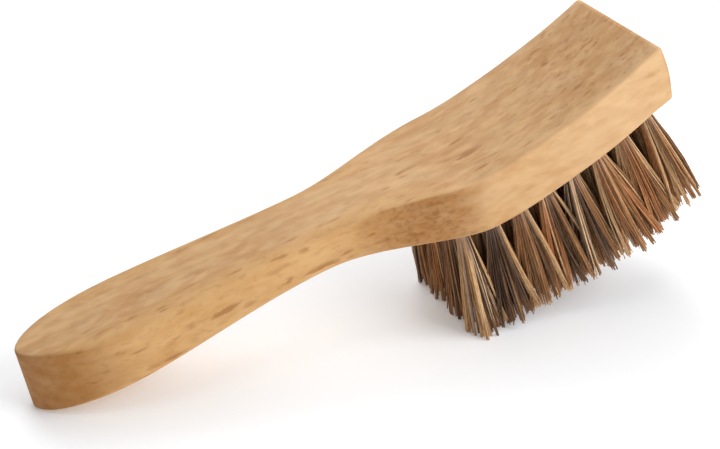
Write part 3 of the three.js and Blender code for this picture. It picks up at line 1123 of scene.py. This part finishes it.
    def build_row(self, row: int, material: Material) -> Piece:
        """Makes one row's fibres as slender tapered tubes with cut ends.

        A tube's section is a triangle that is carried along the fibre's middle line, square to it. Points
        that would reach the floor are lifted to just above it.

        Args:
            row: the row's number, from 0 on the near side.
            material: the fibres' material.

        Returns:
            The row.
        """
        draw = np.random.default_rng(self.seed + row)
        lock = self.lock_places(draw)
        lines = self.paths(row, lock, draw)
        tone = self.tones(row, lock, draw).reshape(self.tufts, -1)
        root, axes = self.axes(row)
        lines = root[:, None, None, :] + np.einsum("tfsk,tkc->tfsc", lines, axes)
        lines = lines.reshape(-1, *lines.shape[2:])
        tone = tone.reshape(-1)
        steps = lines.shape[1]
        way = np.gradient(lines, axis=1)
        way = way / np.linalg.norm(way, axis=-1, keepdims=True)
        first = np.cross(way, np.array([0.0, 1.0, 0.0]))
        first = first / np.linalg.norm(first, axis=-1, keepdims=True)
        second = np.cross(way, first)
        drift = draw.normal(0, self.fibre_radius_drift, (len(lines), 1, 1, 1))
        thick = self.fibre_radius * np.exp(drift)
        taper = np.linspace(*self.fibre_taper, steps)[None, :, None, None]
        turn = draw.uniform(0, 2 * math.pi, (len(lines), 1, 1, 1))
        section = np.arange(self.fibre_sides)
        corner = turn + section[None, None, :, None] * 2 * math.pi / self.fibre_sides
        ring = first[:, :, None, :] * np.cos(corner) + second[:, :, None, :] * np.sin(corner)
        points = self.stock.placement.metres(lines[:, :, None, :] + ring * thick * taper)
        points[..., 2] = np.maximum(points[..., 2], self.floor_gap * MILLIMETRE)
        start = np.arange(len(lines))[:, None, None] * steps * self.fibre_sides
        sides = (grid_faces(steps, self.fibre_sides, True)[None] + start).reshape(-1, 4)
        ends = np.array([section[::-1], section + (steps - 1) * self.fibre_sides])
        caps = (ends[None] + start).reshape(-1, self.fibre_sides)
        piece = new_piece(f"fibre_row_{row + 1}", points, [sides, caps])
        along = np.concatenate([[0.0], self.heights])
        along = np.broadcast_to(along[None, :, None], points.shape[:3])
        tone = np.broadcast_to(tone[:, None, None], points.shape[:3])
        add_numbers(piece, "tone", tone)
        add_numbers(piece, "along", along)
        self.add_map(piece, tone.reshape(-1), along.reshape(-1))
        piece.data.materials.append(material)
        return piece

    @staticmethod
    def add_map(piece: Piece, tone: Array, along: Array) -> None:
        """Lays the fibres over one shared map, palette place across and distance along the fibre up."""
        corners = np.zeros(len(piece.data.loops), dtype=np.int32)
        piece.data.loops.foreach_get("vertex_index", corners)
        layer = piece.data.uv_layers.new(name="OFBake", do_init=False)
        places = MAP_MARGIN + (1 - 2 * MAP_MARGIN) * np.stack([tone, along], axis=-1)
        layer.uv.foreach_set("vector", places[corners].astype(np.float32).ravel())


@dataclass(frozen=True)
class Panel:
    """A square soft light that faces the brush; azimuth is in degrees from the front to the right."""

    name: str
    azimuth: float
    elevation: float
    size: float
    power: float
    distance: float = 0.75

    def build(self, aim: Vector) -> None:
        """Stands the light off from a point that it faces."""
        azimuth, elevation = math.radians(self.azimuth), math.radians(self.elevation)
        level = math.cos(elevation)
        away = Vector((math.sin(azimuth) * level, -math.cos(azimuth) * level, math.sin(elevation)))
        light = bpy.data.lights.new(self.name, "AREA")
        light.shape = "SQUARE"
        light.size = self.size
        light.energy = self.power
        panel = bpy.data.objects.new(self.name, light)
        panel.location = aim + away * self.distance
        panel.rotation_euler = away.to_track_quat("Z", "Y").to_euler()
        bpy.context.scene.collection.objects.link(panel)


@dataclass
class Studio:
    """Pale floor, soft light from the right and the front, and the camera at the photograph's angle."""

    placement: Placement
    azimuth: float = math.radians(-24.8876)
    elevation: float = math.radians(27.5346)
    distance: float = 509.7
    aim: Triple = (100.0, 0.0, 25.0)
    aim_right: float = 7.667
    aim_up: float = -5.675
    lens: float = 85.0
    sensor_width: float = 36.0
    clip_start: float = 0.01
    floor_size: float = 6.0
    floor_points: int = 9
    sky: Colour = (1.0, 1.0, 1.0)
    sky_strength: float = 0.2
    light_aim: Triple = (0.02, 0.0, 0.04)
    panels: tuple[Panel, ...] = (
        Panel("key_light", 45.0, 29.0, 0.7, 5.2),
        Panel("fill_light", -20.0, 15.0, 0.6, 0.6),
        Panel("back_light", 180.0, 45.0, 0.6, 3.3),
        Panel("top_light", 0.0, 90.0, 0.6, 1.7),
    )

    def build(self) -> None:
        """Makes the floor, the lights and the camera."""
        self.floor()
        self.lights()
        self.camera()

    def floor(self) -> None:
        """A flat square sheet under the brush."""
        side = np.linspace(-self.floor_size / 2, self.floor_size / 2, self.floor_points)
        x, y = np.meshgrid(side, side)
        points = np.stack([x, y, np.zeros_like(x)], axis=-1)
        sheet = new_piece("studio_floor", points, [grid_faces(*x.shape, False)])
        sheet.data.materials.append(FloorFinish().material())

    def lights(self) -> None:
        """A faint sky and the soft panels."""
        world = bpy.data.worlds.new("studio_sky")
        world.use_nodes = True
        background = world.node_tree.nodes["Background"]
        background.inputs["Color"].default_value = (*self.sky, 1.0)
        background.inputs["Strength"].default_value = self.sky_strength
        bpy.context.scene.world = world
        for panel in self.panels:
            panel.build(Vector(self.light_aim))

    def camera(self) -> None:
        """Stands the camera off from a point near the brush's middle, back along its line of sight."""
        sin_a, cos_a = math.sin(self.azimuth), math.cos(self.azimuth)
        sin_e, cos_e = math.sin(self.elevation), math.cos(self.elevation)
        back = Vector((sin_a * cos_e, -cos_a * cos_e, sin_e))
        right = Vector((cos_a, sin_a, 0.0))
        up = back.cross(right)
        aim = Vector(self.placement.origin) + Vector(self.aim) + right * self.aim_right + up * self.aim_up
        lens = bpy.data.cameras.new("camera")
        lens.lens = self.lens
        lens.sensor_width = self.sensor_width
        lens.clip_start = self.clip_start
        camera = bpy.data.objects.new("camera", lens)
        camera.location = (aim + back * self.distance) * MILLIMETRE
        camera.rotation_euler = (-back).to_track_quat("-Z", "Y").to_euler()
        bpy.context.scene.collection.objects.link(camera)
        bpy.context.scene.camera = camera
        bpy.context.scene.view_settings.view_transform = "Standard"


def dress_staples() -> int:
    """Gives the staples their wire finish, and returns how many there are."""
    material = WireFinish().material()
    staples = [node for name, node in frame["nodes"].items() if name.startswith("staple_")]
    for staple in staples:
        staple.data.materials.clear()
        staple.data.materials.append(material)
    return len(staples)


def main() -> None:
    """Builds the stock, the filling, the staples' finish and the studio."""
    logging.basicConfig(level=logging.INFO, format="%(message)s")
    placement = Placement.from_record(frame["record"], "handle_top", HANDLE_TOP_PLACE)
    stock = Stock(placement)
    filling = Filling(stock)
    wood = stock.build(filling.holes(), BeechFinish(placement))
    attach(wood, "root")
    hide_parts("wood_stock")
    log.info("%s: %d faces", wood.name, len(wood.data.polygons))
    fibre = FibreFinish().material()
    for row in range(filling.rows):
        piece = filling.build_row(row, fibre)
        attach(piece, "root")
        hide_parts(f"tuft_row_{row + 1}")
        log.info("%s: %d faces", piece.name, len(piece.data.polygons))
    log.info("staples dressed: %d", dress_staples())
    Studio(placement).build()


if __name__ == "__main__":
    main()
